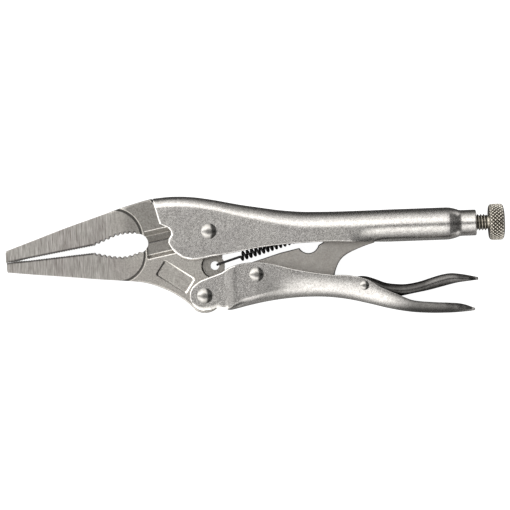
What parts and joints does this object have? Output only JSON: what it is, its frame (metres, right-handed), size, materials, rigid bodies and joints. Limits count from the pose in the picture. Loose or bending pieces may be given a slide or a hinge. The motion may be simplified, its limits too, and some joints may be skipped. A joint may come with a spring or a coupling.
{
  "type": "locking pliers",
  "caption": "Long-nose locking pliers with toothed jaws, wire cutter, over-centre toggle link, tension spring, release lever and knurled adjusting screw.",
  "frame": {"origin": "middle of the underside of the tool's box as it lies on its side", "axes": "+X from the jaw tips to the adjusting knob along the screw's axis, +Y from the lower handle towards the upper handle, +Z across the tool, up from the side it lies on"},
  "size_m": [0.2394, 0.0602, 0.0174],
  "materials": {
    "handle_nickel": "satin nickel plate over fine-grained pressed sheet",
    "jaw_steel": "forged steel, ground cross-wise on the nose, satin nickel at the root",
    "link_steel": "dull grey stamped steel",
    "rivet_nickel": "polished nickel dome",
    "screw_steel": "machined thread and knurl, nickel plated",
    "spring_wire": "dark oil-tempered wire"
  },
  "bodies": {
    "upper_handle": {"upper_handle": "handle_nickel", "fixed_jaw": "jaw_steel", "main_rivet": "rivet_nickel", "tension_spring": "spring_wire"},
    "moving_jaw": {"moving_jaw": "jaw_steel"},
    "lower_handle": {"lower_handle": "handle_nickel", "jaw_rivet": "rivet_nickel", "link_rivet": "rivet_nickel", "release_rivet": "rivet_nickel"},
    "toggle_link": {"toggle_link": "link_steel"},
    "release_lever": {"release_lever": "handle_nickel"},
    "adjusting_screw": {"adjusting_screw": "screw_steel"},
    "screw_knob": {"screw_knob": "screw_steel"}
  },
  "joints": [
    {"name": "jaw_pivot", "type": "hinge", "parent": "upper_handle", "child": "moving_jaw", "pos_m": [-0.0219, 0.013, 0.0087], "axis": [0, 0, 1], "range_deg": [0, 20.2], "deforming": ["tension_spring"]},
    {"name": "handle_pivot", "type": "hinge", "parent": "moving_jaw", "child": "lower_handle", "pos_m": [-0.0249, -0.0178, 0.0087], "axis": [0, 0, -1], "range_deg": [0, 68]},
    {"name": "link_pivot", "type": "hinge", "parent": "lower_handle", "child": "toggle_link", "pos_m": [0.0002, -0.00845, 0.0087], "axis": [0, 0, 1], "range_deg": [0, 68.7]},
    {"name": "release_pivot", "type": "hinge", "parent": "lower_handle", "child": "release_lever", "pos_m": [0.0515, -0.0155, 0.0087], "axis": [0, 0, -1], "range_deg": [0, 6]},
    {"name": "screw_travel", "type": "slide", "parent": "upper_handle", "child": "adjusting_screw", "axis": [1, 0, 0], "range_m": [0, 0.02399]},
    {"name": "knob_turn", "type": "hinge", "parent": "adjusting_screw", "child": "screw_knob", "pos_m": [0.1123, 0.0126, 0.0087], "axis": [1, 0, 0], "range_deg": [0, 6120]}
  ],
  "couplings": [
    {"joint": "jaw_pivot", "follows": "handle_pivot", "ratio": 0.2969},
    {"joint": "link_pivot", "follows": "handle_pivot", "ratio": 1.0091},
    {"joint": "knob_turn", "follows": "screw_travel", "rad_per_m": 4453}
  ]
}
